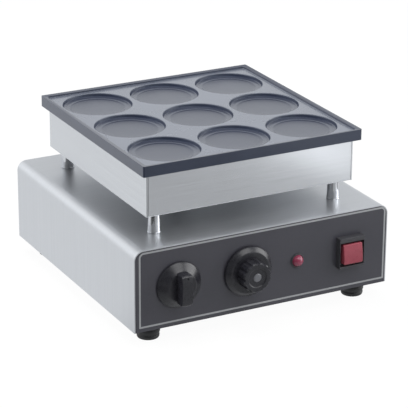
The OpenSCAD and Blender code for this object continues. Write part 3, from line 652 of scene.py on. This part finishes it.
def turned(name, profile, sides=96):
    """A round solid about the Z axis, from (radius, height) pairs in millimetres along its skin."""
    radius, height = profile[0]
    start = (0, 0, height * mm)
    bpy.ops.object.select_all(action="DESELECT")
    bpy.ops.mesh.primitive_circle_add(vertices=sides, radius=radius * mm, fill_type="NGON", location=start)
    piece = settle(bpy.context.object)
    piece.name = name
    edit(piece)
    bpy.ops.mesh.select_all(action="SELECT")
    for next_radius, next_height in profile[1:]:
        extrude(z=(next_height - height) * mm)
        share = next_radius / radius
        bpy.ops.transform.resize(value=(share, share, 1), center_override=(0, 0, 0))
        radius, height = next_radius, next_height
    bpy.ops.mesh.select_all(action="SELECT")
    bpy.ops.mesh.normals_make_consistent(inside=False)
    leave()
    return piece


def placed(piece, at, turn=(0, 0, 0)):
    """Turns a piece about the origin by degrees and moves it, in metres."""
    piece.rotation_euler = [math.radians(angle) for angle in turn]
    piece.location = at
    return settle(piece)


def copy_of(piece, shift):
    only(piece)
    bpy.ops.object.duplicate(linked=False)
    return placed(bpy.context.object, shift)


def joined(*pieces):
    only(*pieces)
    bpy.ops.object.join()
    return bpy.context.object


def apply(piece, kind, **settings):
    """Adds a modifier to a piece and applies it."""
    only(piece)
    modifier = piece.modifiers.new(kind.lower(), kind)
    for name, value in settings.items():
        setattr(modifier, name, value)
    bpy.ops.object.modifier_apply(modifier=modifier.name)
    return piece


def carve(piece, cutter, operation="DIFFERENCE"):
    """Takes the cutter's space from a piece, or adds it, and deletes the cutter."""
    apply(piece, "BOOLEAN", operation=operation, solver="EXACT", object=cutter)
    bpy.data.objects.remove(cutter)
    return piece


def soften(piece, width, segments=4):
    """Rounds every sharp edge, as a tool or a mould leaves it."""
    return apply(piece, "BEVEL", width=width, segments=segments, limit_method="ANGLE",
                 angle_limit=sharp_angle, harden_normals=False)


def finished(piece, name, body, slot, *replaced, finish=None):
    """Smooths a piece, gives it its finish and hands it to the frame."""
    settle(piece)
    piece.name = name
    piece.data.name = name
    bpy.ops.object.shade_smooth_by_angle(angle=smooth_angle)
    apply(piece, "WEIGHTED_NORMAL", keep_sharp=True)
    piece.data.materials.clear()
    piece.data.materials.append(finishes[finish or slot].material)
    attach(piece, body)
    if replaced:
        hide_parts(*replaced)
    print(name, len(piece.data.polygons), "faces")


def one_per_corner(pattern, name, slot, node):
    """Stands a copy of the pattern where each of the four CAD pieces stands.

    name and node are what the names of the copies and of the CAD pieces begin with."""
    for where in ("front_left", "front_right", "rear_left", "rear_right"):
        low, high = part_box(node + where)
        twin = copy_of(pattern, ((low.x + high.x) / 2, (low.y + high.y) / 2, low.z))
        finished(twin, name + where, "machine", slot, node + where)
    bpy.data.objects.remove(pattern)


# %% [markdown]
# The plate is a thick square casting with a low rim and nine pits. It starts as a block.
# Its top is inset for the rim, whose top falls a little inwards, and then pushed down to
# the land. The corners are rounded before the edges, because a bevel that meets three
# edges at once needs them ready. The pits are one turned cutter, copied eight times. The
# cutter has the pit's whole skin: a floor that falls a little to the middle, a low step,
# a ledge, a wall that leans out and a rounded lip, so the cut needs no rounding
# afterwards.

# %% Griddle plate
corner_outer = 2.0 * mm
corner_inner = 3.2 * mm
edge_round = 0.7 * mm
rim_fillet = 1.8 * mm
rim_crest = 0.6 * mm
rim_fall = 1.0 * mm
rim_middle = plate_high.x - rim_width / 2


def reach(edge):
    """How far out the middle of an edge lies, along X or Y."""
    return max(abs(middle_of(edge).x), abs(middle_of(edge).y))


plate = block("griddle", plate_low, plate_high)
edit(plate)
pick("FACE", lambda face: face.normal.z > 0.9)
bpy.ops.mesh.inset(thickness=rim_crest, depth=0)
bpy.ops.mesh.inset(thickness=rim_width - rim_crest, depth=-rim_fall)
extrude(z=rim_fall - rim_height)
pick("EDGE", lambda edge: upright(edge) and reach(edge) > rim_middle)
bpy.ops.mesh.bevel(offset=corner_outer, segments=8)
pick("EDGE", lambda edge: upright(edge) and reach(edge) < rim_middle)
bpy.ops.mesh.bevel(offset=corner_inner, segments=8)
pick("EDGE", lambda edge: abs(middle_of(edge).z - land_height) < 0.1 * mm and not upright(edge))
bpy.ops.mesh.bevel(offset=rim_fillet, segments=6)
leave()
soften(plate, edge_round)

pit_pitch = 92.3 * mm
pits_in_row = 3
pit_floor = [(6, -6.25), (15, -6.2), (24, -6.05), (30, -5.88), (33.2, -5.66)]
pit_step = [(34.1, -5.2), (34.9, -4.84)]
pit_ledge = [(38, -4.66), (40.5, -4.5)]
pit_wall = [(41.5, -4.22), (42.15, -3.7), (42.5, -3.0), (43.25, -0.75)]
pit_lip = [(43.5, -0.3), (43.95, 0.04), (43.95, 6)]
pits = [turned("pit", pit_floor + pit_step + pit_ledge + pit_wall + pit_lip)]
placed(pits[0], (-pit_pitch, -pit_pitch, land_height))
for number in range(1, pits_in_row ** 2):
    row, column = divmod(number, pits_in_row)
    pits.append(copy_of(pits[0], (column * pit_pitch, row * pit_pitch, 0)))
carve(plate, joined(*pits))
finished(plate, "griddle", "machine", "coated_plate", "griddle_plate")

# %% [markdown]
# The heater box under it is bent from thin sheet. A bent sheet has a small radius at each
# fold, and that radius catches a line of light. So each sheet is a surface first: faces
# of a block that aren't there are deleted, edges are pulled out as flanges, the folds are
# bevelled, and Solidify gives the sheet its thickness at the end. The end walls lap round
# the corners, so the seam shows beside the corner and not on it.

# %% Heater box
box_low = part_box("heater_box_side_left")[0]
box_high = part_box("heater_box_side_right")[1]
box_sheet = 1.0 * mm
fold_radius = 1.0 * mm
fold_segments = 6
fold_lip = 1.9 * mm
seam = 0.5 * mm
flange = 12 * mm
burr = 0.18 * mm


def remove_faces(rule):
    pick("FACE", rule)
    bpy.ops.mesh.delete(type="ONLY_FACE")


def bent_sheet(piece):
    """Gives an open surface its thickness, inwards, and takes the burr off its edges."""
    apply(piece, "SOLIDIFY", thickness=box_sheet, offset=-1, use_even_offset=True)
    return soften(piece, burr, segments=2)


def box_wrap():
    """Front, floor and rear of the box, with a flange along both tops."""
    side = box_high.x - fold_lip - seam
    wrap = block("wrap", (-side, box_low.y, box_low.z), (side, box_high.y, box_high.z))
    edit(wrap)
    remove_faces(lambda face: abs(face.normal.x) > 0.9 or face.normal.z > 0.9)
    top = box_high.z - mm
    for end in (-1, 1):
        pick("EDGE", lambda edge: middle_of(edge).z > top and middle_of(edge).y * end > box_high.y / 2)
        extrude(y=-end * flange)
    pick("EDGE", lambda edge: abs(middle_of(edge).x) < mm and abs(middle_of(edge).y) > box_high.y - mm)
    bpy.ops.mesh.bevel(offset=fold_radius, segments=fold_segments)
    leave()
    return bent_sheet(wrap)


def box_side(end):
    """An end wall of the box, whose front and rear edges fold round the corner."""
    near, far = sorted((end * box_high.x, end * (box_high.x - fold_lip)))
    side = block("side", (near, box_low.y, box_low.z), (far, box_high.y, box_high.z))
    edit(side)
    remove_faces(lambda face: face.normal.x * end < -0.9 or abs(face.normal.z) > 0.9)
    pick("EDGE", lambda edge: upright(edge) and middle_of(edge).x * end > box_high.x - mm)
    bpy.ops.mesh.bevel(offset=fold_radius, segments=fold_segments)
    leave()
    return bent_sheet(side)


finished(box_wrap(), "box_wrap", "machine", "stainless", "heater_box_wrap", finish="box_steel")
for end, where in ((-1, "left"), (1, "right")):
    node = "heater_box_side_" + where
    finished(box_side(end), "box_side_" + where, "machine", "stainless", node, finish="box_steel")

# %% [markdown]
# Four pillars carry the box. Each is turned from bar: wider at its foot, with a fine
# bevel at both ends. One is modelled and the others are copies.

# %% Pillars
pillar_low, pillar_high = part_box("pillar_front_left")
tall = (pillar_high.z - pillar_low.z) / mm
wide = (pillar_high.x - pillar_low.x) / 2 / mm
narrow = 6.8
pillar_base = [(wide - 0.5, 0), (wide, 0.5), (wide, 1.1), (wide - 0.45, 1.6)]
pillar_neck = [(narrow, tall - 1.3), (narrow + 0.15, tall - 0.6), (narrow - 0.3, tall)]
one_per_corner(turned("pillar", pillar_base + pillar_neck), "post_", "polished_steel", "pillar_")

# %% [markdown]
# The feet are moulded rubber. Two shallow grooves part each foot into three rounded
# rings, the lowest of them the narrowest. A bore from below hides the head of its screw.

# %% Feet
foot_bore = [(6, 7), (6, 0.4), (6.4, 0)]
low_ring = [(12.0, 0), (12.8, 0.4), (13.3, 1.3), (13.6, 3.2), (13.5, 4.4)]
low_groove = [(12.9, 5.1), (12.9, 5.9)]
belly = [(13.7, 6.7), (14.2, 8.2), (14.3, 10.2), (14, 11.4)]
high_groove = [(13.3, 12), (13.3, 12.8)]
high_ring = [(14.2, 13.6), (14.6, 15), (14.6, 18.2), (14.2, 19.4), (13.4, 20)]
foot = turned("foot", foot_bore + low_ring + low_groove + belly + high_groove + high_ring)
one_per_corner(foot, "rubber_foot_", "foot_rubber", "foot_")

# %% [markdown]
# Both knobs are moulded plastic. They are modelled lying on their backs, with +Z out of
# the panel, and stood up at the end. The timer has a skirt, a drum and a bar to grip: the
# bar is a turned boss, cut flat on two sides, with a crowned front and a dimple that
# points to the set time.

# %% Timer knob
knob_turn = (90, 0, 0)
knob_hollow = [(7, 1), (7, 4.2), (24, 4.2), (24, 0.8)]
timer_skirt = [(28.2, 0.8), (28.5, 1.1), (28.5, 1.9), (28.1, 2.7), (27, 3.7), (24.5, 5.6), (22, 7.5)]
timer_drum = [(20, 9.2), (19, 10.2), (18, 10.8), (17, 11)]
bar_skin = [(19.5, 5), (19.5, 20.5), (19.2, 22), (18.4, 23.2), (17, 24), (12, 24.75), (6, 25)]
bar_width = 13.5 * mm
bar_round = 1.5 * mm
dimple_skin = [(0.9, -1.1), (1.6, -0.6), (1.9, 0.1), (2.1, 3)]
dimple_at = (0, 15.6 * mm, 24.15 * mm)


def control_place(node):
    """Where a control's axis meets the front of the panel."""
    low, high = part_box(node)
    return Vector(((low.x + high.x) / 2, front_face, (low.z + high.z) / 2))


bar = turned("bar", bar_skin)
for side in (-1, 1):
    flat = (side * bar_width / 2, 0, 0)
    edit(bar)
    bpy.ops.mesh.select_all(action="SELECT")
    bpy.ops.mesh.bisect(plane_co=flat, plane_no=(side, 0, 0), use_fill=True, clear_outer=True)
    leave()
soften(bar, bar_round, segments=5)
carve(bar, placed(turned("dimple", dimple_skin, sides=40), dimple_at))
timer = carve(turned("timer", knob_hollow + timer_skirt + timer_drum), bar, "UNION")
placed(timer, control_place("timer_knob"), knob_turn)
finished(timer, "timer_grip", "timer_dial", "knob_black", "timer_knob")

# %% [markdown]
# The thermostat knob has a sloping skirt and a round grip with twelve flutes. The flutes
# are one cutter, copied round the axis. The face of the grip is a shallow recess inside a
# rounded ring, and a small grey button sits in the recess.

# %% Thermostat knob
thermostat_skirt = [(30.6, 0.8), (31, 1.2), (31, 3.4), (30.6, 4.2), (29.6, 5.2), (26.6, 8.2), (25.6, 8.8)]
thermostat_top = [(24.4, 9), (12, 9)]
grip_wall = [(18.5, 8), (18.5, 23.8), (18.2, 25), (17.4, 25.8), (16.4, 26)]
grip_recess = [(12.6, 26), (11.7, 25.6), (11.2, 24.7), (10.4, 24.5), (3, 24.5)]
button_skin = [(5.2, 24.3), (5.2, 24.9), (4.9, 25.4), (4.2, 25.75), (2.5, 25.9)]
flute_count = 12
flute_radius = 3.2
flute_circle = 20.4 * mm
flute_run = [(flute_radius, 9.4), (flute_radius, 22.5)]
flute_mouth = [(flute_radius + 0.5, 24.5), (flute_radius + 1.6, 27)]

flutes = []
for number in range(flute_count):
    angle = 2 * math.pi * number / flute_count
    flute_at = (math.cos(angle) * flute_circle, math.sin(angle) * flute_circle, 0)
    flutes.append(placed(turned("flute", flute_run + flute_mouth, sides=32), flute_at))
grip = carve(turned("grip", grip_wall + grip_recess), joined(*flutes))
thermostat = carve(turned("thermostat", knob_hollow + thermostat_skirt + thermostat_top), grip, "UNION")
placed(thermostat, control_place("thermostat_knob"), knob_turn)
finished(thermostat, "thermostat_grip", "thermostat_dial", "knob_black", "thermostat_knob")
button = placed(turned("button", button_skin, sides=64), control_place("thermostat_knob"), knob_turn)
finished(button, "thermostat_button", "thermostat_dial", "knob_black", finish="knob_grey")

# %% [markdown]
# The indicator lamp is a domed red lens in a black bezel. The bezel's tail goes through
# the panel and holds the lamp from behind. The dome is a slice of a ball, with its rings
# closer together toward the top, where they shrink.

# %% Indicator lamp
bezel_tail = [(6, -28), (6, -0.02)]
bezel_ring = [(8.6, 0), (8.8, 0.3), (8.8, 1.0), (8.4, 1.5), (7.6, 1.6), (7.3, 1.3), (7.2, 0.6)]
bezel_well = [(4.8, 0.6), (4.8, -3)]
lens_base = 7.15
lens_floor = 0.6
lens_reach = 7.5
lens_rings = 15
ball_reach = 7.2
ball_radius = (lens_reach ** 2 + ball_reach ** 2) / (2 * lens_reach)

lens_skin = [(lens_base, lens_floor)]
for ring in range(1, lens_rings):
    out = lens_floor + (lens_reach - lens_floor) * math.sin(math.pi / 2 * ring / lens_rings)
    over_middle = out - lens_reach + ball_radius
    lens_skin.append((math.sqrt(ball_radius ** 2 - over_middle ** 2), out))
lamp_at = control_place("lamp_body")
bezel = placed(turned("bezel", bezel_tail + bezel_ring + bezel_well, sides=64), lamp_at, knob_turn)
finished(bezel, "lamp_bezel", "machine", "switch_black", "lamp_body")
lens = placed(turned("lens", lens_skin, sides=64), lamp_at, knob_turn)
finished(lens, "lamp_dome", "machine", "lens_red", "lamp_lens")

# %% [markdown]
# The rocker switch is a black frame with a red rocker in its well. The frame is a block
# with sloping sides. Its front is inset and pushed in for the well, and the well leaves a
# wide lip above the rocker. Its back is inset and pulled out for the body behind the
# panel.

# %% Switch frame
switch_low, switch_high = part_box("switch_housing")
switch_middle = control_place("switch_housing")
frame_size = switch_high - switch_low
face_w = 28.6 * mm
face_h = 34.2 * mm
frame_lip = 0.6 * mm
well_h = 26.8 * mm
well_depth = 5.5 * mm
well_drop = 1.4 * mm
body_inset = 1.5 * mm
moulded_round = 0.9 * mm
face_share = (face_w / frame_size.x, 1, face_h / frame_size.z)
well_share = (1, 1, well_h / (face_h - 2 * frame_lip))

switch_front = (switch_high.x, front_face, switch_high.z)
switch_frame = block("switch", switch_low, switch_front)
edit(switch_frame)
pick("FACE", lambda face: face.normal.y < -0.9)
extrude()
bpy.ops.transform.resize(value=face_share, center_override=switch_middle)
pick("FACE", lambda face: face.normal.y < -0.9)
bpy.ops.mesh.inset(thickness=frame_lip, depth=0)
bpy.ops.transform.resize(value=well_share, center_override=switch_middle)
bpy.ops.transform.translate(value=(0, 0, -well_drop))
extrude(y=well_depth)
pick("FACE", lambda face: face.normal.y > 0.9 and face.calc_center_median().y > front_face - mm)
bpy.ops.mesh.inset(thickness=body_inset, depth=0)
extrude(y=switch_high.y - front_face)
leave()
soften(switch_frame, moulded_round)
finished(switch_frame, "switch_frame", "machine", "switch_black", "switch_housing")

# %% [markdown]
# The rocker is a block with a crowned front: the part of it that lies in a large round.
# It is modelled on its back too, then tilted to its rest with the top pressed in.

# %% Rocker
rocker_half_w = 13 * mm
rocker_half_l = 12.3 * mm
rocker_back = -3.4 * mm
rocker_front = 8.3 * mm
rocker_crown = 1.0 * mm
rocker_tilt = 7
crown_reach = 20
axle_out = 4 * mm

rocker_low = (-rocker_half_w, -rocker_half_l - well_drop, rocker_back)
rocker_high = (rocker_half_w, rocker_half_l - well_drop, rocker_front)
rocker = block("rocker", rocker_low, rocker_high)
crown_radius = (rocker_half_l ** 2 + rocker_crown ** 2) / (2 * rocker_crown) / mm
crown = turned("crown", [(crown_radius, -crown_reach), (crown_radius, crown_reach)], sides=256)
crown_at = (0, -well_drop, rocker_front - crown_radius * mm)
carve(rocker, placed(crown, crown_at, (0, 90, 0)), "INTERSECT")
soften(rocker, moulded_round)
rocker_at = (switch_middle.x, front_face - axle_out, switch_middle.z)
placed(rocker, rocker_at, (90 - rocker_tilt, 0, 0))
finished(rocker, "switch_key", "rocker", "rocker_red", "switch_rocker")

# %% [markdown]
# Every other CAD piece has the right shape already. It keeps its mesh, and each of its
# material slots gets the finish that suits what the piece is made of.

# %% Finishes for the pieces that stay
kept = {
    "stainless": ("base_shell", "rear_panel"),
    "galvanised": ("bottom_cover", "reflector_plate", "element_clamps", "wire_conduit"),
    "panel_black": ("front_panel",),
    "plated_steel": ("cover_screws", "foot_screws", "foot_nuts", "pillar_studs", "pillar_nuts",
                     "clamp_screws", "plate_screws", "timer_screws", "thermostat_screws",
                     "timer_shaft", "thermostat_shaft"),
    "mineral_wool": ("insulation_pad",),
    "element_sheath": ("heating_element_left", "heating_element_middle", "heating_element_right"),
    "control_cream": ("timer_body", "thermostat_body", "terminal_block"),
    "copper": ("thermostat_capillary",),
    "terminal_brass": ("terminal_screws",),
    "loom_sleeve": ("heater_loom",),
    "gland_black": ("gland_body", "gland_cap", "gland_nut"),
}
for slot, names in kept.items():
    for name in names:
        for holder in nodes[name].material_slots:
            holder.material = finishes[slot].material
print("finished", sum(len(names) for names in kept.values()), "pieces that stay")
